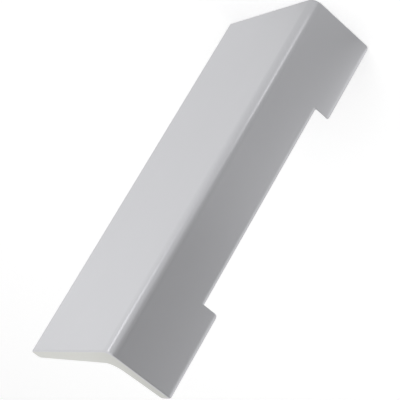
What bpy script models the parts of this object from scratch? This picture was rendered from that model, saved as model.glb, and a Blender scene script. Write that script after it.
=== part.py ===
"""Refrigerator door handle: one tapered aluminium angle with a notched mounting flange.

The handle stands upright as it is fixed on a side-hinged door: Z runs along its length, the
grip flange faces the user (-Y) and the two feet meet the door (+Y). The section is drawn in its
own coordinates, `across` from the mounting flange's outer face and `deep` from the grip flange's
outer face, and an empty at the section's outer corner carries it to its place.
"""

import math

import bmesh
import bpy
from mathutils import Matrix, Vector

# Screw positions and lengths along the door
SCREW_SPACING = 0.128
SCREW_INSET = 0.016
FOOT_LENGTH = 0.0355
HANDLE_LENGTH = SCREW_SPACING + 2 * SCREW_INSET

# Angle section
GRIP_WIDTH = 0.061
STAND_OFF = 0.031
GRIP_TIP_WALL = 0.0046
GRIP_ROOT_WALL = 0.0078
FOOT_TIP_WALL = 0.0059
FOOT_ROOT_WALL = 0.0080
RIDGE_RADIUS = 0.0040
INNER_FILLET = 0.0060
GRIP_TIP_RADIUS = 0.0015
FOOT_TIP_RADIUS = 0.0008
RIM_RADIUS = 0.0015

# Notch between the feet
NOTCH_DEPTH = 0.0070
LIP_RADIUS = 0.0004
NOTCH_LAND = 0.0002

# Blind tapped hole in each foot, cut at its core diameter
HOLE_DIAMETER = 0.0033
HOLE_DEPTH = 0.0120
HOLE_MOUTH_CHAMFER = 0.0003
DRILL_POINT_ANGLE = math.radians(118)

# How finely the round stretches are cut, and how far a cutter stands clear of the metal
ARC_STEPS = 12
LIP_STEPS = 5
HOLE_STEPS = 32
CUT_CLEARANCE = 0.0020
WELD_DISTANCE = 0.000001
FLAT_ANGLE = math.radians(0.5)
SHARP_ANGLE = math.radians(30)

OBJECT_NAME = "door_handle"


def clear_scene():
    """Removes what a new file holds."""
    for obj in list(bpy.data.objects):
        bpy.data.objects.remove(obj, do_unlink=True)


def new_collection(name):
    """Makes a collection in the scene."""
    collection = bpy.data.collections.new(name)
    bpy.context.scene.collection.children.link(collection)
    return collection


def satin_aluminium():
    """Silver anodised aluminium, satin."""
    material = bpy.data.materials.new("satin_aluminium")
    material.use_nodes = True
    shader = material.node_tree.nodes["Principled BSDF"]
    shader.inputs["Base Color"].default_value = (0.60, 0.61, 0.62, 1.0)
    shader.inputs["Metallic"].default_value = 1.0
    shader.inputs["Roughness"].default_value = 0.42
    return material


def rounded_corner(before, corner, after, radius, steps):
    """The arc that rounds one corner of an outline, or the corner itself where radius is 0."""
    if radius == 0:
        return [corner]
    towards_before = (before - corner).normalized()
    towards_after = (after - corner).normalized()
    half_angle = towards_before.angle(towards_after) / 2
    bisector = (towards_before + towards_after).normalized()
    centre = corner + bisector * (radius / math.sin(half_angle))
    start = corner + towards_before * (radius / math.tan(half_angle)) - centre
    end = corner + towards_after * (radius / math.tan(half_angle)) - centre
    turn = start.angle_signed(end)
    points = []
    for step in range(steps + 1):
        # angle_signed counts clockwise, so the turn is taken off
        points.append(centre + Matrix.Rotation(-turn * step / steps, 2) @ start)
    return points


def drawn_out(arc):
    """An arc whose first chord runs on outward, so that its cutter crosses the face it rounds."""
    start = arc[0]
    return [start + (start - arc[1]).normalized() * CUT_CLEARANCE] + arc[1:]


def rounded_outline(corners, steps):
    """A closed outline from corners and the radius that rounds each of them."""
    outline = []
    for index, (corner, radius) in enumerate(corners):
        before = corners[index - 1][0]
        after = corners[(index + 1) % len(corners)][0]
        for point in rounded_corner(before, corner, after, radius, steps):
            # An arc that starts at the corner before it adds no second point there
            if not outline or (point - outline[-1]).length > WELD_DISTANCE:
                outline.append(point)
    return outline


def section_outline():
    """The angle's section: flanges that thicken towards the ridge, with round corners."""
    corners = [
        (Vector((0, 0)), RIDGE_RADIUS),
        (Vector((GRIP_WIDTH, 0)), GRIP_TIP_RADIUS),
        (Vector((GRIP_WIDTH, GRIP_TIP_WALL)), GRIP_TIP_RADIUS),
        (Vector((FOOT_ROOT_WALL, GRIP_ROOT_WALL)), INNER_FILLET),
        (Vector((FOOT_TIP_WALL, STAND_OFF)), FOOT_TIP_RADIUS),
        (Vector((0, STAND_OFF)), RIM_RADIUS),
    ]
    return rounded_outline(corners, ARC_STEPS)


def wall_at(deep):
    """The mounting flange's thickness at a depth below the grip's outer face."""
    share = (deep - GRIP_ROOT_WALL) / (STAND_OFF - GRIP_ROOT_WALL)
    return FOOT_ROOT_WALL + (FOOT_TIP_WALL - FOOT_ROOT_WALL) * share


def notch_outline():
    """The notch seen on the mounting flange, as (across, along) points.

    Each end has a rounded lip at the outer face and a short square land, and then leans back at
    45 degrees, so that no end wall shows from the outside. Both slopes run past the inner face.
    """
    inner = wall_at(STAND_OFF - NOTCH_DEPTH) + CUT_CLEARANCE
    square = LIP_RADIUS + NOTCH_LAND
    middle = HANDLE_LENGTH / 2
    reach = middle - FOOT_LENGTH
    face, corner, land = Vector((0, reach + LIP_RADIUS)), Vector((0, reach)), Vector((square, reach))
    end = drawn_out(rounded_corner(face, corner, land, LIP_RADIUS, LIP_STEPS))
    end += [land, Vector((inner, reach + inner - square))]
    upper = [Vector((point.x, middle + point.y)) for point in end]
    lower = [Vector((point.x, middle - point.y)) for point in end]
    return upper + lower[::-1]


def notch_section():
    """The notch across the mounting flange: its floor, and the floor's rounded outer rim."""
    floor = STAND_OFF - NOTCH_DEPTH
    inner = wall_at(floor) + 2 * CUT_CLEARANCE
    outside = STAND_OFF + 2 * CUT_CLEARANCE
    ridge, corner, level = Vector((0, 0)), Vector((0, floor)), Vector((inner, floor))
    outline = drawn_out(rounded_corner(ridge, corner, level, RIM_RADIUS, ARC_STEPS))
    return outline + [level, Vector((inner, outside)), Vector((outline[0].x, outside))]


def prism(name, outline, height, collection):
    """A flat outline given a height, centred on its own plane, as a closed mesh object."""
    curve = bpy.data.curves.new(name, "CURVE")
    curve.dimensions = "2D"
    curve.fill_mode = "BOTH"
    curve.extrude = height / 2
    spline = curve.splines.new("POLY")
    spline.points.add(len(outline) - 1)
    for point, place in zip(spline.points, outline):
        point.co = (place.x, place.y, 0, 1)
    spline.use_cyclic_u = True
    drawn = bpy.data.objects.new(name + "_outline", curve)
    collection.objects.link(drawn)
    mesh = meshed(drawn)
    bpy.data.objects.remove(drawn, do_unlink=True)
    mesh.name = name
    solid = bpy.data.objects.new(name, mesh)
    collection.objects.link(solid)
    return solid


def meshed(obj):
    """The evaluated mesh of an object, welded, with its flat faces made whole."""
    bpy.context.view_layer.update()
    graph = bpy.context.evaluated_depsgraph_get()
    mesh = bpy.data.meshes.new_from_object(obj.evaluated_get(graph), depsgraph=graph)
    shape = bmesh.new()
    shape.from_mesh(mesh)
    bmesh.ops.remove_doubles(shape, verts=shape.verts, dist=WELD_DISTANCE)
    bmesh.ops.dissolve_limit(
        shape, angle_limit=FLAT_ANGLE, use_dissolve_boundaries=False, verts=shape.verts, edges=shape.edges
    )
    bmesh.ops.recalc_face_normals(shape, faces=shape.faces)
    shape.to_mesh(mesh)
    shape.free()
    return mesh


def mark_as_cutter(obj):
    """Keeps a cutter out of the model."""
    obj.hide_render = True
    obj.display_type = "WIRE"


def notch_cutter(frame, collection):
    """What the notch takes away: its outline along the handle, kept within its own section."""
    reach = NOTCH_DEPTH + RIM_RADIUS
    height = reach + 2 * CUT_CLEARANCE
    cutter = prism("notch_cutter", notch_outline(), height, collection)
    cutter.parent = frame
    # The outline's plane is turned from across/deep to across/along
    cutter.rotation_euler = (math.radians(90), 0, 0)
    cutter.location = (0, STAND_OFF - reach / 2, 0)
    floor = prism("notch_floor", notch_section(), HANDLE_LENGTH, collection)
    floor.parent = frame
    floor.location = (0, 0, HANDLE_LENGTH / 2)
    step = cutter.modifiers.new("floor", "BOOLEAN")
    step.operation = "INTERSECT"
    step.solver = "EXACT"
    step.object = floor
    mark_as_cutter(cutter)
    mark_as_cutter(floor)
    return cutter


def contact_middle():
    """The middle of a foot's flat contact face, between its rim and its inner rounding."""
    return (RIM_RADIUS + FOOT_TIP_WALL - FOOT_TIP_RADIUS) / 2


def hole_cutter(name, along, frame, collection):
    """A drilled hole turned from its profile: point, wall and chamfered mouth."""
    radius = HOLE_DIAMETER / 2
    point_depth = radius / math.tan(DRILL_POINT_ANGLE / 2)
    mouth = radius + HOLE_MOUTH_CHAMFER + CUT_CLEARANCE
    profile = [
        (0, CUT_CLEARANCE),
        (mouth, CUT_CLEARANCE),
        (radius, -HOLE_MOUTH_CHAMFER),
        (radius, -HOLE_DEPTH),
        (0, -HOLE_DEPTH - point_depth),
    ]
    mesh = bpy.data.meshes.new(name)
    vertices = [(out, 0, up) for out, up in profile]
    mesh.from_pydata(vertices, [(i, i + 1) for i in range(len(profile) - 1)], [])
    cutter = bpy.data.objects.new(name, mesh)
    collection.objects.link(cutter)
    screw = cutter.modifiers.new("turn", "SCREW")
    screw.steps = HOLE_STEPS
    screw.render_steps = HOLE_STEPS
    screw.use_merge_vertices = True
    screw.merge_threshold = WELD_DISTANCE
    cutter.parent = frame
    # The drill's axis lies along the door's normal, with its mouth at the contact face
    cutter.rotation_euler = (math.radians(-90), 0, 0)
    cutter.location = (contact_middle(), STAND_OFF, along)
    mark_as_cutter(cutter)
    return cutter


def cut(body, cutters):
    """Takes each cutter out of the body and keeps the result as the body's mesh."""
    for cutter in cutters:
        step = body.modifiers.new(cutter.name, "BOOLEAN")
        step.operation = "DIFFERENCE"
        step.solver = "EXACT"
        step.object = cutter
    mesh = meshed(body)
    body.modifiers.clear()
    body.data = mesh


def handle_body(frame, collection, cutters):
    """The extruded angle with its notch and screw holes."""
    body = prism(OBJECT_NAME, section_outline(), HANDLE_LENGTH, collection)
    body.data.transform(Matrix.Translation((0, 0, HANDLE_LENGTH / 2)))
    body.parent = frame
    tools = [notch_cutter(frame, cutters)]
    for name, along in (("lower_hole", SCREW_INSET), ("upper_hole", SCREW_INSET + SCREW_SPACING)):
        tools.append(hole_cutter(name + "_cutter", along, frame, cutters))
    cut(body, tools)
    body.data.shade_smooth()
    body.data.set_sharp_from_angle(angle=SHARP_ANGLE)
    return body


def main():
    """Builds the handle centred over its lower end."""
    clear_scene()
    parts = new_collection(OBJECT_NAME)
    cutters = new_collection("cutters")
    frame = bpy.data.objects.new("section_corner", None)
    frame.location = (-GRIP_WIDTH / 2, -STAND_OFF / 2, 0)
    parts.objects.link(frame)
    body = handle_body(frame, parts, cutters)
    body.data.materials.append(satin_aluminium())


main()
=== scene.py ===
"""Looks of a refrigerator door handle: a satin anodised aluminium angle with a notched flange.

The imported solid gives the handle's place and overall size. One dressed surface stands for it, with
the round corners of the section, the rounded rim along the feet and the notch, broken edges at the
sawn ends and tapped holes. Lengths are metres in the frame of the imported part: Z runs along the
handle, the grip flange faces -Y, and the feet meet the door at +Y.
"""

import logging
import math
from dataclasses import dataclass
from enum import Enum, IntEnum

import bpy
import numpy as np
from mathutils import Matrix, Vector


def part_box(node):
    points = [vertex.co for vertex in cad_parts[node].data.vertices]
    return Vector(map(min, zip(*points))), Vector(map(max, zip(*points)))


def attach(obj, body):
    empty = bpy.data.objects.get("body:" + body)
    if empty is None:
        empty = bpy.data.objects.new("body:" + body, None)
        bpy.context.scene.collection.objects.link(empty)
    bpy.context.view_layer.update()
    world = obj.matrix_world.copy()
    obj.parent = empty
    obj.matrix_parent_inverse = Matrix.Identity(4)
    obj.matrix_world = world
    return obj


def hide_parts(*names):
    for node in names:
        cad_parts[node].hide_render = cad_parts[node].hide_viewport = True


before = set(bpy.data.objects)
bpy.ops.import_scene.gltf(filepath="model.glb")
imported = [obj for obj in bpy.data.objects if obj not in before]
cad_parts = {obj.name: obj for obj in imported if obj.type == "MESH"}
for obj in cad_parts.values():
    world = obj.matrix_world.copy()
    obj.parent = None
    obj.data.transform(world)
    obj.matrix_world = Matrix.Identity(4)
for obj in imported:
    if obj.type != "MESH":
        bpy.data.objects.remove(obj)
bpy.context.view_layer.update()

LOG = logging.getLogger("door_handle_scene")
NODE = "door_handle"
BODY = "root"
QUARTER_TURN = math.pi / 2
WHITE = (1.0, 1.0, 1.0, 1.0)

Amount = float | np.ndarray
Pair = tuple[float, float]
Triple = tuple[float, float, float]
Faces = list[list[int]]
Materials = list[bpy.types.Material]
Socket = bpy.types.NodeSocket


class Face(Enum):
    """The finish that a face of the handle wears, as the number of its material slot."""

    SATIN = 0
    MILLED = 1
    SAWN = 2
    TAPPED = 3


class Stretch(IntEnum):
    """The stretches of the section's outline in their order round it, an arc and a face in turn."""

    RIM = 0
    FLANGE_OUTSIDE = 1
    RIDGE = 2
    GRIP_OUTSIDE = 3
    GRIP_OUTER_EDGE = 4
    GRIP_END = 5
    GRIP_INNER_EDGE = 6
    GRIP_INSIDE = 7
    FILLET = 8
    FLANGE_INSIDE = 9
    INNER_TIP = 10
    TIP_FACE = 11


def eased(count: int) -> np.ndarray:
    """Steps strictly between 0 and 1 that crowd towards both ends: half of 1 - cos(pi t)."""
    even = np.arange(1, count + 1) / (count + 1)
    return (1 - np.cos(math.pi * even)) / 2


def lerp(start: Amount, end: Amount, share: Amount) -> Amount:
    """Goes from start to end by a share between 0 and 1."""
    return start + (end - start) * share


def outward(direction: np.ndarray) -> np.ndarray:
    """The unit normal on the right of a direction of travel, which is outside on this outline."""
    along = direction / np.linalg.norm(direction)
    return np.array([along[1], -along[0]])


def quarter_circle(rows: int) -> tuple[np.ndarray, np.ndarray]:
    """A quarter circle of radius 1 in even turns t, as it rounds the corner between two faces.

    Args:
        rows: How many points it has, with both of its ends.

    Returns:
        How far each point is from the first face, 1 - cos t, and from the second, 1 - sin t.
    """
    turn = np.linspace(0, QUARTER_TURN, rows)
    return 1 - np.cos(turn), 1 - np.sin(turn)


def wrapped_grid(columns: int, rows: int) -> tuple[np.ndarray, np.ndarray]:
    """Numbers a grid of points and joins each column to the next one, and the last to the first.

    Args:
        columns: How many columns go round.
        rows: How many points each column has.

    Returns:
        The points' numbers, as (column, row), and the quads between them, one row each.
    """
    number = np.arange(columns * rows).reshape(columns, rows)
    beside = np.roll(number, -1, axis=0)
    quads = np.stack([number[:, :-1], beside[:, :-1], beside[:, 1:], number[:, 1:]], axis=2)
    return number, quads.reshape(-1, 4)


def linked(name: str, data: bpy.types.ID) -> bpy.types.Object:
    """Makes an object of a mesh, lamp or camera and puts it in the scene."""
    made = bpy.data.objects.new(name, data)
    bpy.context.scene.collection.objects.link(made)
    return made


def bearing(azimuth: float, elevation: float) -> Matrix:
    """The turn of a lamp or camera that looks back along a bearing: up about X, round about Z."""
    rise = Matrix.Rotation(QUARTER_TURN - elevation, 4, "X")
    return Matrix.Rotation(azimuth, 4, "Z") @ rise


@dataclass(frozen=True)
class Corner:
    """A corner of the section's outline and the radius that rounds it."""

    across: float
    deep: float
    radius: float

    def place(self) -> np.ndarray:
        """The corner before it is rounded."""
        return np.array([self.across, self.deep])

    def arc(self, before: "Corner", after: "Corner", steps: int) -> tuple[np.ndarray, np.ndarray]:
        """Rounds the corner with an arc that is tangent to the faces on both sides.

        The normal turns evenly from one face's to the next face's, and each point lies one
        radius along it from the arc's centre, or against it where the corner is hollow.

        Args:
            before: The corner ahead of this one on the outline.
            after: The corner behind it.
            steps: How many equal turns the arc takes.

        Returns:
            The arc's points and its outward normals, one row each.
        """
        first = outward(self.place() - before.place())
        last = outward(after.place() - self.place())
        turn = math.atan2(first[0] * last[1] - first[1] * last[0], first @ last)
        reach = math.copysign(self.radius, turn)
        centre = self.place() - reach * (first + last) / (1 + first @ last)
        angle = math.atan2(first[1], first[0]) + turn * np.linspace(0, 1, steps + 1)
        normals = np.stack([np.cos(angle), np.sin(angle)], axis=1)
        return centre + reach * normals, normals


@dataclass(frozen=True)
class Outline:
    """The section's outline as columns of points, with what each column does along the handle.

    towards_tip is how far a column goes with the flange's tip, from 0 to 1. follows is the number
    of the column whose path it shares there.
    """

    points: np.ndarray
    normals: np.ndarray
    towards_tip: np.ndarray
    follows: np.ndarray
    is_tip_face: np.ndarray


@dataclass(frozen=True)
class AngleSection:
    """The extruded angle's section, from its outer corner: across the grip and deep to the door."""

    grip_width: float
    stand_off: float
    grip_tip_wall: float = 0.0046
    grip_root_wall: float = 0.0078
    foot_tip_wall: float = 0.0059
    foot_root_wall: float = 0.0080
    ridge_radius: float = 0.0040
    inner_fillet: float = 0.0060
    grip_tip_radius: float = 0.0015
    foot_tip_radius: float = 0.0008
    rim_radius: float = 0.0015
    foot_rim_radius: float = 0.0018
    corner_steps: int = 24
    tip_steps: int = 12
    grip_columns: int = 15
    foot_columns: int = 9
    tip_columns: int = 6

    def wall_at(self, deep: float) -> float:
        """The mounting flange's wall at a depth, tapering evenly from its root to its tip."""
        share = (deep - self.grip_root_wall) / (self.stand_off - self.grip_root_wall)
        return lerp(self.foot_root_wall, self.foot_tip_wall, share)

    def contact_middle(self) -> float:
        """The middle of the solid foot's flat contact face, whose rim has the notch's radius."""
        return (self.rim_radius + self.foot_tip_wall - self.foot_tip_radius) / 2

    def face(self, start: np.ndarray, end: np.ndarray, count: int) -> tuple[np.ndarray, np.ndarray]:
        """Columns strictly between two points of a flat face, closer together near its ends."""
        points = lerp(start, end, eased(count)[:, None])
        return points, np.tile(outward(end - start), (count, 1))

    def outline(self, tip: float, rim_radius: float, inner_radius: float) -> Outline:
        """Goes once round the section, with the mounting flange ending at a given depth.

        The columns are the same at every depth, so that two outlines can be joined point by
        point. They start where the rim leaves the tip's face and run round by the ridge and the
        grip's tip to the inner tip and back along the tip's face.

        Args:
            tip: How deep the mounting flange reaches.
            rim_radius: The radius of its outer tip corner.
            inner_radius: The radius of its inner tip corner.

        Returns:
            The outline's columns.
        """
        corners = [
            Corner(0.0, tip, rim_radius),
            Corner(0.0, 0.0, self.ridge_radius),
            Corner(self.grip_width, 0.0, self.grip_tip_radius),
            Corner(self.grip_width, self.grip_tip_wall, self.grip_tip_radius),
            Corner(self.foot_root_wall, self.grip_root_wall, self.inner_fillet),
            Corner(self.wall_at(tip), tip, inner_radius),
        ]
        small, large = self.tip_steps, self.corner_steps
        steps = [small, large, small, small, large, small]
        arcs = [
            corner.arc(corners[index - 1], corners[(index + 1) % len(corners)], count)
            for index, (corner, count) in enumerate(zip(corners, steps))
        ]
        # The flat of the grip's end needs no columns between its two arcs.
        foot, grip = self.foot_columns, self.grip_columns
        columns = [foot, grip, 0, grip, foot, self.tip_columns]
        blocks = []
        for arc, following, count in zip(arcs, arcs[1:] + arcs[:1], columns):
            blocks.append(arc)
            blocks.append(self.face(arc[0][-1], following[0][0], count))
        return self.with_weights(blocks)

    def foot_outline(self) -> Outline:
        """The section through a foot."""
        return self.outline(self.stand_off, self.foot_rim_radius, self.foot_tip_radius)

    def with_weights(self, blocks: list[tuple[np.ndarray, np.ndarray]]) -> Outline:
        """Joins the blocks of columns and says how far each column goes with the flange's tip.

        A column on a face of the mounting flange goes with the tip by its share of the way from
        the root to the tip, and every column between the two tip corners goes with it wholly.

        Args:
            blocks: Points and normals of the arcs and faces, in the order of Stretch.

        Returns:
            The outline's columns.
        """
        starts = np.cumsum([0] + [len(points) for points, _ in blocks])
        total = int(starts[-1])
        rim_end = starts[Stretch.FLANGE_OUTSIDE] - 1
        inner_start = starts[Stretch.INNER_TIP]
        outer = np.arange(starts[Stretch.FLANGE_OUTSIDE], starts[Stretch.RIDGE])
        inner = np.arange(starts[Stretch.FLANGE_INSIDE], inner_start)
        weight = np.zeros(total)
        weight[: rim_end + 1] = 1.0
        weight[outer] = 1 - eased(len(outer))
        weight[inner] = eased(len(inner))
        weight[inner_start:] = 1.0
        follows = np.arange(total)
        follows[rim_end + 1 : starts[Stretch.FLANGE_INSIDE]] = rim_end
        follows[inner] = inner_start
        return Outline(
            points=np.concatenate([points for points, _ in blocks]),
            normals=np.concatenate([normals for _, normals in blocks]),
            towards_tip=weight,
            follows=follows,
            is_tip_face=np.arange(total) >= inner_start,
        )


@dataclass(frozen=True)
class NotchEnd:
    """A foot's end at the notch: a rounded lip, a narrow land and a lean back of 45 degrees."""

    foot_length: float
    edge_radius: float
    root_radius: float
    lip_radius: float = 0.0002
    land: float = 0.0002
    least_radius: float = 0.00005
    edge_rows: int = 6
    wall_rows: int = 4

    def rows(self) -> int:
        """How many rows the foot's edge, its end wall and the notch's root take together."""
        return 2 * self.edge_rows + self.wall_rows - 2

    def wall(self, across: np.ndarray) -> np.ndarray:
        """Where the foot's end wall stands along the handle, at a distance from the outer face.

        The lip is a quarter circle of radius r, which falls short of the wall by
        r - sqrt(r^2 - (r - across)^2). Past the land the wall goes back by one for each one across.

        Args:
            across: Distances from the mounting flange's outer face.

        Returns:
            The places along the handle.
        """
        to_land = np.clip(self.lip_radius - across, 0.0, self.lip_radius)
        short = self.lip_radius - np.sqrt(self.lip_radius**2 - to_land**2)
        lean = np.maximum(across - self.lip_radius - self.land, 0.0)
        return self.foot_length - short - lean


@dataclass
class HandleBody:
    """The extruded angle as one closed surface, from its outer corner and its lower end."""

    section: AngleSection
    length: float
    foot_length: float = 0.0354
    notch_depth: float = 0.0070
    floor_edge_radius: float = 0.0002
    notch_edge_radius: float = 0.0008
    lower_root_radius: float = 0.0008
    upper_root_radius: float = 0.0003
    end_corner: float = 0.0012
    end_break: float = 0.00055
    inner_break_share: float = 0.3
    fan: float = 0.0060
    break_rows: int = 4
    corner_rows: int = 5
    foot_rows: int = 12
    floor_rows: int = 18

    def rows_before(self) -> int:
        """How many rows lie between an end face and the foot's edge at the notch."""
        return self.break_rows + 1 + self.corner_rows + self.foot_rows

    def end_rows(self) -> np.ndarray:
        """Where the rows on an end's broken edge and on the foot's rounded end corner lie.

        Both are quarter circles that start in the end face, with r (1 - cos t) along the handle.
        The corner's rows go on from the place where the break ends.

        Returns:
            The places along the handle, from the end face to the end of the corner.
        """
        broken = self.end_break * quarter_circle(self.break_rows + 1)[0]
        met = math.acos(1 - self.end_break / self.end_corner)
        turn = np.linspace(met, QUARTER_TURN, self.corner_rows + 1)[1:]
        return np.concatenate([broken, self.end_corner * (1 - np.cos(turn))])

    def end_drop(self, along: np.ndarray) -> np.ndarray:
        """How far the end corner, a quarter circle, lies below the contact face at a place z.

        That is r - sqrt(r^2 - (r - z)^2).
        """
        return self.end_corner - np.sqrt(self.end_corner**2 - (self.end_corner - along) ** 2)

    def end_inset(self, outline: Outline, rows: int) -> np.ndarray:
        """How far the end's broken edge sets each point into the section: r (1 - sin t), then none.

        The inner edges are broken less than the outer ones, by a share that follows the normal's
        turn from the outer faces, -X and -Y, to the inner ones. The tip's columns are set in
        across only, because the end corner rounds them in depth.

        Args:
            outline: The section's columns.
            rows: How many rows there are.

        Returns:
            The insets across and deep, as (column, row, direction).
        """
        inset = np.zeros(rows)
        inset[: self.break_rows + 1] = self.end_break * quarter_circle(self.break_rows + 1)[1]
        outer = np.clip(-outline.normals.sum(axis=1), 0, 1)
        size = lerp(self.inner_break_share, 1.0, outer)[:, None] * inset
        at_tip = outline.towards_tip[:, None] == 1
        facing = outline.normals * np.where(at_tip, [1.0, 0.0], [1.0, 1.0])
        return facing[:, None, :] * size[:, :, None]

    def tip_descent(
        self, end: NotchEnd, drop: np.ndarray, set_in: np.ndarray
    ) -> tuple[np.ndarray, np.ndarray]:
        """How a column of the tip goes down from the contact face to the notch's floor.

        It comes round the foot's end corner, runs level along the foot, goes round the foot's edge
        at the notch, down its end wall and round the notch's root, and runs level along the floor.

        Args:
            end: How the foot ends at the notch.
            drop: How far down each column goes in all, as (column, 1).
            set_in: How far each column lies inside the metal at the notch, as (column, 1).

        Returns:
            How far down each row lies, and how far past the end wall the rows from the foot's edge
            to the notch's root lie, as (column, row).
        """
        columns = len(drop)
        edge = np.maximum(end.edge_radius - set_in, end.least_radius)
        root = end.root_radius + set_in
        gone, left = quarter_circle(end.edge_rows)
        wall = np.linspace(0, 1, end.wall_rows)[1:-1]
        down = [
            np.tile(self.end_drop(self.end_rows()), (columns, 1)),
            np.zeros((columns, self.foot_rows)),
            edge * gone,
            lerp(edge, drop - root, wall),
            drop - root * left,
            np.broadcast_to(drop, (columns, self.floor_rows)),
        ]
        past_wall = [-edge * left, np.zeros((columns, len(wall))), root * gone]
        return np.concatenate(down, axis=1), np.concatenate(past_wall, axis=1)

    def half(self, end: NotchEnd) -> np.ndarray:
        """Carries the section from an end face to the handle's middle.

        The tip's columns follow the rim's path, as tip_descent has it. A column on the rim's
        rounding takes the same path lower by its own depth below the tip's face. One on the inner
        rounding is set into the metal by that depth at the notch. Columns away from the tip run
        straight, and those on the flange's flat faces lie between the two by their share.

        Args:
            end: How the foot ends at the notch.

        Returns:
            The points from the end face to the middle, as (column, row, coordinate).
        """
        section = self.section
        foot = section.foot_outline()
        floor_tip = section.stand_off - self.notch_depth
        floor = section.outline(floor_tip, section.rim_radius, self.floor_edge_radius)
        path_on_foot = foot.points[foot.follows]
        path_on_floor = floor.points[foot.follows]
        lower = floor_tip - path_on_floor[:, 1]
        set_in = np.where(foot.is_tip_face[foot.follows], lower, 0.0)[:, None]
        drop = (path_on_foot[:, 1] - path_on_floor[:, 1])[:, None]
        down, past_wall = self.tip_descent(end, drop, set_in)
        share = down / drop
        path_across = lerp(path_on_foot[:, :1], path_on_floor[:, :1], share)

        before = self.rows_before()
        bends = end.wall(path_across[:, before : before + end.rows()]) - set_in + past_wall
        on_end = np.tile(self.end_rows(), (len(bends), 1))
        on_foot = lerp(self.end_corner, bends[:, :1], eased(self.foot_rows))
        to_middle = np.linspace(0, 1, self.floor_rows + 1)[1:]
        on_floor = lerp(bends[:, -1:], self.length / 2, to_middle)
        path_along = np.concatenate([on_end, on_foot, bends, on_floor], axis=1)
        along = lerp(self.straight_rows(end), path_along, foot.towards_tip[:, None])

        points = lerp(foot.points[:, None, :], floor.points[:, None, :], share[:, :, None])
        points = points - self.end_inset(foot, share.shape[1])
        return np.concatenate([points, along[:, :, None]], axis=2)

    def straight_rows(self, end: NotchEnd) -> np.ndarray:
        """Where the rows cross the straight columns: spread evenly where the rim turns down.

        Args:
            end: How the foot ends at the notch.

        Returns:
            The rows' places along the handle, from the end face to the middle.
        """
        before = self.foot_length - self.section.foot_tip_wall / 2 - self.fan
        after = before + 2 * self.fan
        return np.concatenate(
            [
                self.end_rows(),
                lerp(self.end_corner, before, eased(self.foot_rows)),
                np.linspace(before, after, end.rows()),
                np.linspace(after, self.length / 2, self.floor_rows + 1)[1:],
            ]
        )

    def half_finishes(self, end: NotchEnd) -> np.ndarray:
        """Which finish the face after each column and row wears.

        Everything is satin but the notch, whose floor and end walls are milled, up to the rounding
        of its outer edges.

        Args:
            end: How the foot ends at the notch.

        Returns:
            The material slots from the end face to the middle, as (column, row).
        """
        outline = self.section.foot_outline()
        columns = len(outline.points)
        before = self.rows_before()
        floor = before + end.rows()
        finish = np.full((columns, floor + self.floor_rows), Face.SATIN.value)
        finish[outline.is_tip_face, before:] = Face.MILLED.value
        past_lip = np.roll(outline.points[:, 0], -1) > end.lip_radius
        on_rim = np.arange(columns) < self.section.tip_steps
        finish[on_rim & past_lip, before : floor - 1] = Face.MILLED.value
        return finish

    def surface(self) -> tuple[np.ndarray, Faces, np.ndarray]:
        """Joins the two halves and closes both end faces.

        The upper half is made as a lower half and turned over, z to length - z, with its rows in
        reverse. Each half has its own radius at the notch's root.

        Returns:
            The vertices, the faces and the material slot of each face.
        """
        ends = [
            NotchEnd(self.foot_length, self.notch_edge_radius, root_radius)
            for root_radius in (self.lower_root_radius, self.upper_root_radius)
        ]
        lower, upper = [self.half(end) for end in ends]
        upper[:, :, 2] = self.length - upper[:, :, 2]
        points = np.concatenate([lower, upper[:, -2::-1]], axis=1)
        lower_finish, upper_finish = [self.half_finishes(end) for end in ends]
        finish = np.concatenate([lower_finish[:, :-1], upper_finish[:, -2::-1]], axis=1)
        number, quads = wrapped_grid(*points.shape[:2])
        caps = self.end_faces(number[:, 0])
        caps += [cap[::-1] for cap in self.end_faces(number[:, -1])]
        slots = np.concatenate([finish.reshape(-1), np.full(len(caps), Face.SAWN.value)])
        return points.reshape(-1, 3), quads.tolist() + caps, slots

    def end_faces(self, ring: np.ndarray) -> Faces:
        """Closes one end with quads between the columns that face each other across the wall.

        Args:
            ring: The vertex numbers of the end row, in the outline's order.

        Returns:
            The faces, pointing down the handle.
        """
        tip_start = len(ring) - self.section.tip_columns
        pairs = tip_start // 2
        outer = ring[:pairs]
        inner = ring[:tip_start][::-1][:pairs]
        quads = np.stack([outer[1:-1], outer[2:], inner[2:], inner[1:-1]], axis=1)[:, ::-1]
        tip = np.concatenate([[outer[1], inner[1]], ring[tip_start - 1 :], [outer[0]]])
        return quads.tolist() + [tip[::-1].tolist()]


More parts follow.
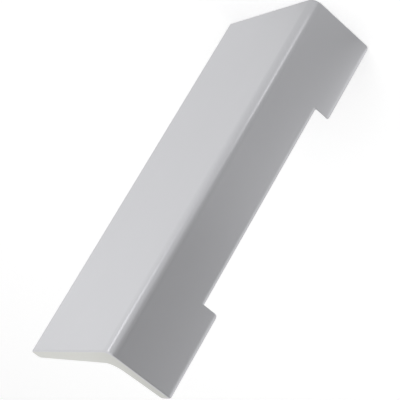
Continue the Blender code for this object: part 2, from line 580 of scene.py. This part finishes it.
@dataclass(frozen=True)
class TappedHole:
    """A blind hole with an M4 thread, drilled from the contact face.

    The thread's two flats are shares of its pitch, at the bottom of its groove and on its crest.
    """

    across: float
    along: float
    core_diameter: float = 0.0033
    thread_diameter: float = 0.0040
    pitch: float = 0.0007
    groove_flat: float = 1 / 8
    crest_flat: float = 1 / 4
    depth: float = 0.0120
    mouth_chamfer: float = 0.0004
    point_angle: float = math.radians(118)
    run_out: float = 0.0010
    clearance: float = 0.0010
    columns: int = 48
    rows_per_turn: int = 12

    def wall(self, angle: np.ndarray, down: np.ndarray, contact: float) -> np.ndarray:
        """The hole's wall at angles round its axis and depths down it, from the door into the foot.

        Its radius is the core's radius plus the thread's groove, whose trapezoid repeats every
        pitch and moves on one pitch a turn, and it fades out before the drill's point. Near the
        face the radius is at least the chamfer's cone.

        Args:
            angle: Angles, as (column, 1).
            down: Depths below the contact face.
            contact: How deep the contact face lies in the section.

        Returns:
            The points, as (column, row, coordinate).
        """
        core = self.core_diameter / 2
        groove = (self.thread_diameter - self.core_diameter) / 2
        phase = (down / self.pitch - angle / (2 * math.pi)) % 1.0
        from_crest = 1 - self.crest_flat - np.abs(2 * phase - 1)
        ramp = np.clip(from_crest / (1 - self.crest_flat - self.groove_flat), 0, 1)
        fade = np.clip((self.depth - self.run_out - down) / self.run_out, 0, 1)
        cone = core + self.mouth_chamfer - down
        radius = np.maximum(core + groove * ramp * fade, cone)
        deep = np.broadcast_to(contact - down, radius.shape)
        across = self.across + radius * np.cos(angle)
        return np.stack([across, deep, self.along + radius * np.sin(angle)], axis=2)

    def cutter(self, contact: float) -> tuple[np.ndarray, Faces]:
        """The metal that drill and tap take away, as a closed surface round the hole's axis.

        Its two poles are clear of the contact face and at the drill's point.

        Args:
            contact: How deep the contact face lies in the section.

        Returns:
            The vertices and the faces.
        """
        count = round(self.depth / self.pitch * self.rows_per_turn)
        down = np.concatenate([[-self.clearance], np.linspace(0.0, self.depth, count)])
        angle = np.linspace(0, 2 * math.pi, self.columns, endpoint=False)[:, None]
        wall = self.wall(angle, down, contact)
        point = self.depth + self.core_diameter / 2 / math.tan(self.point_angle / 2)
        pole_deep = contact - np.array([-self.clearance, point])
        poles = np.stack([np.full(2, self.across), pole_deep, np.full(2, self.along)], axis=1)
        number, quads = wrapped_grid(self.columns, len(down))
        beside = np.roll(number, -1, axis=0)
        mouth = np.full(self.columns, number.size)
        mouth_fan = np.stack([mouth, beside[:, 0], number[:, 0]], axis=1)
        point_fan = np.stack([mouth + 1, number[:, -1], beside[:, -1]], axis=1)
        vertices = np.concatenate([wall.reshape(-1, 3), poles])
        return vertices, quads.tolist() + mouth_fan.tolist() + point_fan.tolist()


class NodeSheet:
    """A material's or world's node tree, with short ways to add and join nodes."""

    def __init__(self, tree: bpy.types.NodeTree) -> None:
        """Empties the tree and keeps it."""
        self.tree = tree
        self.tree.nodes.clear()

    def add(self, kind: str, **settings: object) -> bpy.types.Node:
        """Adds a node. A setting is a property of the node, or else the value of one of its inputs.

        Args:
            kind: The node's type name.
            **settings: Property or input names, with _ for a space in an input's name.

        Returns:
            The node.
        """
        node = self.tree.nodes.new(kind)
        for name, value in settings.items():
            if hasattr(node, name):
                setattr(node, name, value)
            else:
                node.inputs[name.replace("_", " ")].default_value = value
        return node

    def join(self, source: Socket, target: Socket) -> None:
        """Links two sockets."""
        self.tree.links.new(source, target)

    def placed(self, kind: str, place: Socket, **settings: object) -> bpy.types.Node:
        """Adds a texture or mapping node, as add does, that reads the coordinates of a place."""
        node = self.add(kind, **settings)
        self.join(place, node.inputs["Vector"])
        return node

    def noise(self, place: Socket, scale: float, detail: float) -> Socket:
        """Adds noise at a place's coordinates and gives its value, from 0 to 1."""
        node = self.placed("ShaderNodeTexNoise", place, Scale=scale, Detail=detail)
        return node.outputs["Fac"]

    def waves(
        self, place: Socket, period: float, unevenness: float, detail: float, **settings: object
    ) -> Socket:
        """Adds a wave texture, whose waves are the sine of 20 Scale x.

        Args:
            place: The coordinates.
            period: The length of a wave.
            unevenness: How far the waves are bent.
            detail: How fine the bends are.
            **settings: The waves' shape and direction.

        Returns:
            The waves' height, from 0 to 1.
        """
        scale = 2 * math.pi / (20 * period)
        node = self.placed("ShaderNodeTexWave", place, Scale=scale, Detail=detail, **settings)
        node.inputs["Distortion"].default_value = unevenness
        return node.outputs["Fac"]

    def mixed(self, first: Socket, second: Socket, share: float) -> Socket:
        """Mixes two values.

        Args:
            first: The first value.
            second: The second value.
            share: The second value's part in the mix, from 0 to 1.

        Returns:
            The mix.
        """
        node = self.add("ShaderNodeMix", data_type="FLOAT")
        node.inputs["Factor"].default_value = share
        self.join(first, node.inputs["A"])
        self.join(second, node.inputs["B"])
        return node.outputs["Result"]

    def end_with(self, shader: Socket, kind: str = "ShaderNodeOutputMaterial") -> None:
        """Joins a shader to a new output node."""
        self.join(shader, self.add(kind).inputs["Surface"])


def empty_material(name: str) -> tuple[bpy.types.Material, NodeSheet]:
    """Makes a material and gives it with its empty node sheet."""
    material = bpy.data.materials.new(name)
    material.use_nodes = True
    return material, NodeSheet(material.node_tree)


@dataclass(frozen=True)
class MetalFinish:
    """Bare or anodised aluminium: what every finish of the handle has in common."""

    name: str
    light_tone: Triple
    dark_tone: Triple
    roughness: float
    roughness_spread: float
    bump_height: float
    cloud_scale: float = 45.0
    cloud_detail: float = 3.0

    def pattern(self, sheet: NodeSheet, place: Socket) -> Socket:
        """The finish's own height pattern, from 0 to 1, on Object coordinates."""
        raise NotImplementedError

    def tone_share(self, sheet: NodeSheet, place: Socket) -> Socket:
        """How far the tone goes from dark to light: soft clouds, unless a finish adds painted shade
        and light too.
        """
        return sheet.noise(place, self.cloud_scale, self.cloud_detail)

    def material(self) -> bpy.types.Material:
        """Builds the material: the pattern moves roughness and height, and the tone has its share.

        Returns:
            The material.
        """
        material, sheet = empty_material(self.name)
        place = sheet.add("ShaderNodeTexCoord").outputs["Object"]
        pattern = self.pattern(sheet, place)
        tone = sheet.add("ShaderNodeMix", data_type="RGBA")
        tones = [socket for socket in tone.inputs if socket.type == "RGBA"]
        tones[0].default_value = (*self.dark_tone, 1.0)
        tones[1].default_value = (*self.light_tone, 1.0)
        sheet.join(self.tone_share(sheet, place), tone.inputs["Factor"])
        rough = sheet.add(
            "ShaderNodeMapRange",
            To_Min=self.roughness - self.roughness_spread,
            To_Max=self.roughness + self.roughness_spread,
        )
        sheet.join(pattern, rough.inputs["Value"])
        bump = sheet.add("ShaderNodeBump", Strength=1.0, Distance=self.bump_height)
        sheet.join(pattern, bump.inputs["Height"])
        shader = sheet.add("ShaderNodeBsdfPrincipled", Metallic=1.0)
        colour = next(socket for socket in tone.outputs if socket.type == "RGBA")
        sheet.join(colour, shader.inputs["Base Color"])
        sheet.join(rough.outputs["Result"], shader.inputs["Roughness"])
        sheet.join(bump.outputs["Normal"], shader.inputs["Normal"])
        sheet.end_with(shader.outputs["BSDF"])
        return material


@dataclass(frozen=True)
class SatinAnodised(MetalFinish):
    """Silver anodised faces: an etched grain over faint die lines along the extrusion."""

    grain_scale: float = 5000.0
    grain_detail: float = 2.0
    line_scale: float = 1400.0
    line_detail: float = 3.0
    line_stretch: float = 0.01
    line_share: float = 0.6

    def pattern(self, sheet: NodeSheet, place: Socket) -> Socket:
        """Fine noise for the grain, mixed with noise drawn out along Z for the die lines.

        Args:
            sheet: The material's nodes.
            place: Object coordinates.

        Returns:
            The height, from 0 to 1.
        """
        grain = sheet.noise(place, self.grain_scale, self.grain_detail)
        drawn = sheet.placed("ShaderNodeMapping", place, Scale=(1.0, 1.0, self.line_stretch))
        lines = sheet.noise(drawn.outputs["Vector"], self.line_scale, self.line_detail)
        return sheet.mixed(grain, lines, self.line_share)


@dataclass(frozen=True)
class MilledFaces(MetalFinish):
    """The notch's floor and walls: a milling cutter's feed lines under the anodising."""

    feed: float = 0.0006
    unevenness: float = 1.5
    feed_detail: float = 2.0

    def pattern(self, sheet: NodeSheet, place: Socket) -> Socket:
        """Waves along the handle, one for each turn of the cutter, slightly uneven."""
        return sheet.waves(place, self.feed, self.unevenness, self.feed_detail, bands_direction="Z")


@dataclass(frozen=True)
class SawnFaces(MetalFinish):
    """The handle's two ends as a circular saw left them: shallow arcs round one blade centre.

    The fields where the painted shade and the painted light are full are values of x - y. Between
    them the tone goes evenly from dark at the flange's tip to light up at the grip.
    """

    tooth_pitch: float = 0.0004
    unevenness: float = 3.0
    tooth_detail: float = 3.0
    blade_centre: Triple = (-0.09, 0.12, 0.0)
    # Painted shade and light on the end faces: the x - y where the tone is darkest, where it is
    # lightest, and the ramp's share against the clouds.
    painted_shade_at: float = -0.042
    painted_light_at: float = 0.002
    painted_light_share: float = 0.75

    def tone_share(self, sheet: NodeSheet, place: Socket) -> Socket:
        """Clouds, mixed with painted shade and light that ramp evenly by x - y from the flange's tip
        up to the grip.

        Args:
            sheet: The material's nodes.
            place: Object coordinates.

        Returns:
            The light tone's share, from 0 to 1.
        """
        clouds = super().tone_share(sheet, place)
        # Painted light: the tone ramps from dark to light by x - y across the end face.
        across = sheet.add("ShaderNodeVectorMath", operation="DOT_PRODUCT")
        across.inputs[1].default_value = (1.0, -1.0, 0.0)
        sheet.join(place, across.inputs[0])
        painted_falloff = sheet.add("ShaderNodeMapRange", From_Min=self.painted_shade_at, From_Max=self.painted_light_at)
        sheet.join(across.outputs["Value"], painted_falloff.inputs["Value"])
        return sheet.mixed(clouds, painted_falloff.outputs["Result"], self.painted_light_share)

    def pattern(self, sheet: NodeSheet, place: Socket) -> Socket:
        """Rings round the blade's centre, one for each tooth's bite, slightly uneven.

        Args:
            sheet: The material's nodes.
            place: Object coordinates.

        Returns:
            The height, from 0 to 1.
        """
        to_centre = [-value for value in self.blade_centre]
        centred = sheet.placed("ShaderNodeMapping", place, Location=to_centre)
        return sheet.waves(
            centred.outputs["Vector"], self.tooth_pitch, self.unevenness, self.tooth_detail,
            wave_type="RINGS", rings_direction="Z",
        )


@dataclass(frozen=True)
class TappedMetal(MetalFinish):
    """The thread in each hole: bare metal with a fine tear from the tap."""

    tear_scale: float = 6000.0
    tear_detail: float = 1.0

    def pattern(self, sheet: NodeSheet, place: Socket) -> Socket:
        """Fine even noise."""
        return sheet.noise(place, self.tear_scale, self.tear_detail)


@dataclass
class DoorHandle:
    """The whole handle: one aluminium angle with its notch and two tapped holes."""

    lowest: Vector
    highest: Vector
    screw_inset: float = 0.016
    sharp_angle: float = math.radians(30)
    satin: MetalFinish = SatinAnodised(
        name="satin_anodised", light_tone=(0.609, 0.611, 0.633), dark_tone=(0.589, 0.591, 0.611),
        roughness=0.30, roughness_spread=0.03, bump_height=0.000004,
    )
    milled: MetalFinish = MilledFaces(
        name="milled_anodised", light_tone=(0.60, 0.61, 0.62), dark_tone=(0.56, 0.57, 0.58),
        roughness=0.36, roughness_spread=0.05, bump_height=0.000012,
    )
    # The sawn ends' tones spread wide because painted shade and light ramp between them across the
    # end faces, besides soft clouds.
    sawn: MetalFinish = SawnFaces(
        name="sawn_aluminium", light_tone=(0.664, 0.665, 0.633), dark_tone=(0.532, 0.533, 0.508),
        roughness=0.42, roughness_spread=0.05, bump_height=0.000015,
    )
    tapped: MetalFinish = TappedMetal(
        name="tapped_aluminium", light_tone=(0.68, 0.68, 0.67), dark_tone=(0.62, 0.62, 0.61),
        roughness=0.30, roughness_spread=0.04, bump_height=0.000006,
    )

    def length(self) -> float:
        """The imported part's length."""
        return self.highest.z - self.lowest.z

    def section(self) -> AngleSection:
        """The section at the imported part's width and stand-off."""
        size = self.highest - self.lowest
        return AngleSection(grip_width=size.x, stand_off=size.y)

    def mesh_object(
        self, name: str, vertices: np.ndarray, faces: Faces, finishes: Materials
    ) -> bpy.types.Object:
        """Makes a mesh object at the origin, with its place in its mesh.

        Args:
            name: The object's and the mesh's name.
            vertices: Points from the section's corner at the lower end.
            faces: The vertex numbers of each face.
            finishes: The materials, in the order of their slots.

        Returns:
            The object.
        """
        mesh = bpy.data.meshes.new(name)
        mesh.from_pydata(vertices + np.array(self.lowest), [], faces)
        mesh.update()
        for finish in finishes:
            mesh.materials.append(finish)
        return linked(name, mesh)

    def holes(self, section: AngleSection) -> list[TappedHole]:
        """The two screw holes, on the middle line of the feet's contact faces."""
        across = section.contact_middle()
        insets = (self.screw_inset, self.length() - self.screw_inset)
        return [TappedHole(across, inset) for inset in insets]

    def finishes(self) -> Materials:
        """The four materials, in the order of their slots."""
        return [finish.material() for finish in (self.satin, self.milled, self.sawn, self.tapped)]

    def drill(self, body: bpy.types.Object, section: AngleSection, finishes: Materials) -> None:
        """Takes the tapped holes out of the body and keeps the result as its mesh.

        Args:
            body: The handle without its holes.
            section: The handle's section.
            finishes: The materials, in the order of their slots.
        """
        cutters = []
        for index, hole in enumerate(self.holes(section)):
            vertices, faces = hole.cutter(section.stand_off)
            cutter = self.mesh_object(f"hole_cutter_{index}", vertices, faces, finishes)
            slots = np.full(len(faces), Face.TAPPED.value, np.int32)
            cutter.data.polygons.foreach_set("material_index", slots)
            step = body.modifiers.new(cutter.name, "BOOLEAN")
            step.operation = "DIFFERENCE"
            step.solver = "EXACT"
            step.object = cutter
            cutters.append(cutter)
        bpy.context.view_layer.update()
        graph = bpy.context.evaluated_depsgraph_get()
        drilled = bpy.data.meshes.new_from_object(body.evaluated_get(graph), depsgraph=graph)
        body.modifiers.clear()
        body.data = drilled
        for cutter in cutters:
            bpy.data.objects.remove(cutter, do_unlink=True)

    def build(self) -> bpy.types.Object:
        """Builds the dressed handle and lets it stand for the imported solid.

        Returns:
            The finished piece.
        """
        section = self.section()
        vertices, faces, slots = HandleBody(section, self.length()).surface()
        finishes = self.finishes()
        piece = self.mesh_object("handle_body", vertices, faces, finishes)
        piece.data.polygons.foreach_set("material_index", slots.astype(np.int32))
        self.drill(piece, section, finishes)
        piece.data.shade_smooth()
        piece.data.set_sharp_from_angle(angle=self.sharp_angle)
        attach(piece, BODY)
        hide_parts(NODE)
        return piece


@dataclass(frozen=True, kw_only=True)
class GlossCard:
    """A glowing card round the handle, which only the metal's gloss sees.

    Its tone goes evenly between the levels at its four corners, where 1 is the white of the
    surroundings. Each pair of levels goes from the first azimuth to the last, and near means the
    low side of a card that stands. Angles are degrees.
    """

    name: str
    azimuths: Pair
    near_levels: Pair
    far_levels: Pair
    steps: int = 12

    def spread(self, ends: Pair) -> np.ndarray:
        """Even steps between two ends, one for each line of the card's net."""
        return np.linspace(*ends, self.steps + 1)

    def net(self, height: float) -> np.ndarray:
        """The card's points, as (azimuth, from near to far, coordinate)."""
        raise NotImplementedError

    def material(self) -> bpy.types.Material:
        """Takes the tone from the card's own level attribute.

        Returns:
            The material.
        """
        material, sheet = empty_material(self.name)
        level = sheet.add("ShaderNodeAttribute", attribute_type="GEOMETRY", attribute_name="level")
        tone = sheet.add("ShaderNodeEmission", Color=WHITE)
        sheet.join(level.outputs["Fac"], tone.inputs["Strength"])
        sheet.end_with(tone.outputs["Emission"])
        return material

    def lay(self, height: float) -> bpy.types.Object:
        """Sets the card up, with the levels of its four corners mixed over it.

        Args:
            height: The height that its net is measured from.

        Returns:
            The card.
        """
        share = self.spread((0, 1))
        points = self.net(height)
        number = np.arange(points.size // 3).reshape(self.steps + 1, -1)
        around = [number[:-1, :-1], number[:-1, 1:], number[1:, 1:], number[1:, :-1]]
        quads = np.stack(around, axis=2)
        near = lerp(*self.near_levels, share)[:, None]
        far = lerp(*self.far_levels, share)[:, None]
        levels = lerp(near, far, share)
        mesh = bpy.data.meshes.new(self.name)
        mesh.from_pydata(points.reshape(-1, 3), [], quads.reshape(-1, 4).tolist())
        level = mesh.attributes.new("level", "FLOAT", "POINT")
        level.data.foreach_set("value", levels.reshape(-1))
        mesh.materials.append(self.material())
        card = linked(self.name, mesh)
        card.visible_camera = False
        card.visible_diffuse = False
        card.visible_transmission = False
        card.visible_shadow = False
        return card


@dataclass(frozen=True, kw_only=True)
class FloorCard(GlossCard):
    """A card that lies on the floor as a sector of a ring, between two distances."""

    distances: Pair

    def net(self, height: float) -> np.ndarray:
        """The points x = r cos a and y = r sin a, over azimuths a and distances r.

        Args:
            height: How high the card lies.

        Returns:
            The points, as (azimuth, distance, coordinate).
        """
        angle = np.radians(self.spread(self.azimuths))[:, None]
        radius = self.spread(self.distances)
        flat = np.full((self.steps + 1, self.steps + 1), height)
        return np.stack([radius * np.cos(angle), radius * np.sin(angle), flat], axis=2)


@dataclass(frozen=True, kw_only=True)
class SkyCard(GlossCard):
    """A card that stands round the handle as a piece of a sphere, between two elevations."""

    elevations: Pair
    reach: float

    def net(self, height: float) -> np.ndarray:
        """The points R cos e cos a, R cos e sin a and R sin e, over azimuths a and elevations e.

        Args:
            height: How high the sphere's centre lies.

        Returns:
            The points, as (azimuth, elevation, coordinate).
        """
        angle = np.radians(self.spread(self.azimuths))[:, None]
        rise = np.radians(self.spread(self.elevations))
        level = height + self.reach * np.sin(rise) * np.ones_like(angle)
        across = self.reach * np.cos(rise)
        return np.stack([across * np.cos(angle), across * np.sin(angle), level], axis=2)


@dataclass(frozen=True)
class SoftBox:
    """A large square lamp that faces the handle's middle and stays out of the metal's gloss."""

    name: str
    azimuth: float
    elevation: float
    distance: float
    size: float
    watts: float

    def hang(self, target: Vector) -> bpy.types.Object:
        """Hangs the lamp on its bearing from the target, facing it.

        Args:
            target: The point that the lamp faces.

        Returns:
            The lamp.
        """
        turned = bearing(self.azimuth, self.elevation)
        data = bpy.data.lights.new(self.name, "AREA")
        data.shape = "SQUARE"
        data.size = self.size
        data.energy = self.watts
        lamp = linked(self.name, data)
        place = target + turned @ Vector((0, 0, self.distance))
        lamp.matrix_world = Matrix.Translation(place) @ turned
        lamp.visible_glossy = False
        return lamp


@dataclass(frozen=True)
class Studio:
    """The pale floor, the white surroundings, the softbox and the cards round the handle."""

    floor_reach: float = 4.0
    floor_tone: Triple = (0.80, 0.80, 0.80)
    floor_lift: float = 0.35
    ambient: float = 0.65
    card_gap: float = 0.00002
    soft_box: SoftBox = SoftBox(
        name="soft_box", azimuth=math.radians(-65.0), elevation=math.radians(55.0),
        distance=1.6, size=1.6, watts=10.8,
    )
    cards: tuple[GlossCard, ...] = (
        FloorCard(
            name="pale_card", azimuths=(-181.9, 27.5), distances=(0.011, 0.732),
            near_levels=(0.80, 0.95), far_levels=(1.06, 1.10),
        ),
        FloorCard(
            name="dim_card", azimuths=(-181.3, -83.2), distances=(0.025, 3.23),
            near_levels=(0.72, 0.86), far_levels=(0.08, 1.00),
        ),
        FloorCard(
            name="grey_card", azimuths=(149.9, 203.7), distances=(0.019, 1.55),
            near_levels=(0.54, 0.62), far_levels=(0.02, 0.46),
        ),
        FloorCard(
            name="dark_card", azimuths=(153.8, 159.5), distances=(0.271, 5.25),
            near_levels=(0.04, 0.04), far_levels=(0.02, 0.02),
        ),
        FloorCard(
            name="bright_strip", azimuths=(-107.9, -95.5), distances=(0.370, 1.07),
            near_levels=(1.35, 0.12), far_levels=(4.76, 4.30),
        ),
        FloorCard(
            name="bright_patch", azimuths=(-155.3, -144.8), distances=(0.047, 0.161),
            near_levels=(0.94, 0.90), far_levels=(2.01, 1.27),
        ),
        FloorCard(
            name="corner_patch", azimuths=(152.0, 164.0), distances=(0.030, 0.080),
            near_levels=(0.72, 0.58), far_levels=(0.59, 0.56),
        ),
        FloorCard(
            name="rim_card", azimuths=(39.5, 153.7), distances=(0.027, 1.07),
            near_levels=(0.56, 1.03), far_levels=(1.51, 0.56),
        ),
        SkyCard(
            name="sky_card", azimuths=(60.0, 200.0), elevations=(1.0, 75.0), reach=3.9,
            near_levels=(0.75, 0.25), far_levels=(0.75, 0.25),
        ),
    )

    def seen_directly(self, sheet: NodeSheet) -> Socket:
        """Tells the rays by which the white is seen from those that light the handle.

        Args:
            sheet: The nodes to add to.

        Returns:
            1 for rays from the camera, from a gloss or through glass, and 0 for the rest.
        """
        path = sheet.add("ShaderNodeLightPath")
        seen = path.outputs["Is Camera Ray"]
        for ray in ("Is Glossy Ray", "Is Transmission Ray"):
            either = sheet.add("ShaderNodeMath", operation="MAXIMUM")
            sheet.join(seen, either.inputs[0])
            sheet.join(path.outputs[ray], either.inputs[1])
            seen = either.outputs["Value"]
        return seen

    def surroundings(self) -> None:
        """Lights the scene evenly, and shows as plain white."""
        world = bpy.data.worlds.new("white_surroundings")
        world.use_nodes = True
        sheet = NodeSheet(world.node_tree)
        level = sheet.add("ShaderNodeMapRange", To_Min=self.ambient, To_Max=1.0)
        sheet.join(self.seen_directly(sheet), level.inputs["Value"])
        background = sheet.add("ShaderNodeBackground", Color=WHITE)
        sheet.join(level.outputs["Result"], background.inputs["Strength"])
        sheet.end_with(background.outputs["Background"], "ShaderNodeOutputWorld")
        bpy.context.scene.world = world

    def floor_material(self) -> bpy.types.Material:
        """Matt and pale, and lifted to white where it is seen, so that only shadows show on it.

        Returns:
            The material.
        """
        material, sheet = empty_material("pale_floor")
        matt = sheet.add("ShaderNodeBsdfDiffuse", Color=(*self.floor_tone, 1.0))
        lift = sheet.add("ShaderNodeEmission", Color=WHITE)
        scaled = sheet.add("ShaderNodeMath", operation="MULTIPLY")
        scaled.inputs[1].default_value = self.floor_lift
        sheet.join(self.seen_directly(sheet), scaled.inputs[0])
        sheet.join(scaled.outputs["Value"], lift.inputs["Strength"])
        both = sheet.add("ShaderNodeAddShader")
        sheet.join(matt.outputs["BSDF"], both.inputs[0])
        sheet.join(lift.outputs["Emission"], both.inputs[1])
        sheet.end_with(both.outputs["Shader"])
        return material

    def floor(self, height: float) -> bpy.types.Object:
        """Lays a flat square under the handle.

        Args:
            height: How high the floor lies.

        Returns:
            The floor.
        """
        reach = self.floor_reach
        signs = ((-1, -1), (1, -1), (1, 1), (-1, 1))
        mesh = bpy.data.meshes.new("floor")
        mesh.from_pydata([(x * reach, y * reach, height) for x, y in signs], [], [(0, 1, 2, 3)])
        mesh.materials.append(self.floor_material())
        made = linked("floor", mesh)
        return made

    def set_up(self, lowest: Vector, highest: Vector) -> None:
        """Puts everything round the handle's box.

        Args:
            lowest: The box's lowest corner, on the floor.
            highest: Its highest corner.
        """
        self.surroundings()
        self.floor(lowest.z)
        self.soft_box.hang((lowest + highest) / 2)
        for index, card in enumerate(self.cards):
            card.lay(lowest.z + self.card_gap * (index + 1))


@dataclass(frozen=True)
class PhotoCamera:
    """The camera at the photograph's viewing angle, rolled about its own axis as the photo is."""

    azimuth: float = math.radians(-65.747)
    elevation: float = math.radians(20.979)
    roll: float = math.radians(-149.625)
    distance: float = 0.6313
    aim: Triple = (0.00061, -0.00023, 0.00122)
    lens: float = 149.23
    sensor: float = 36.0

    def place(self, centre: Vector) -> bpy.types.Object:
        """Sets the camera on its bearing from a point close to the handle's centre.

        Args:
            centre: The middle of the handle's box.

        Returns:
            The scene's camera.
        """
        turned = bearing(self.azimuth, self.elevation)
        back = turned @ Vector((0.0, 0.0, self.distance))
        place = Matrix.Translation(centre + Vector(self.aim) + back)
        data = bpy.data.cameras.new("photo_camera")
        data.lens = self.lens
        data.sensor_width = self.sensor
        camera = linked("photo_camera", data)
        camera.matrix_world = place @ turned @ Matrix.Rotation(self.roll, 4, "Z")
        bpy.context.scene.camera = camera
        return camera


def main() -> None:
    """Builds the handle, the studio and the camera."""
    logging.basicConfig(level=logging.INFO)
    bpy.context.scene.view_settings.view_transform = "Standard"
    lowest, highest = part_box(NODE)
    handle = DoorHandle(lowest, highest).build()
    LOG.info("%s: %d faces", handle.name, len(handle.data.polygons))
    Studio().set_up(lowest, highest)
    PhotoCamera().place((lowest + highest) / 2)


if __name__ == "__main__":
    main()
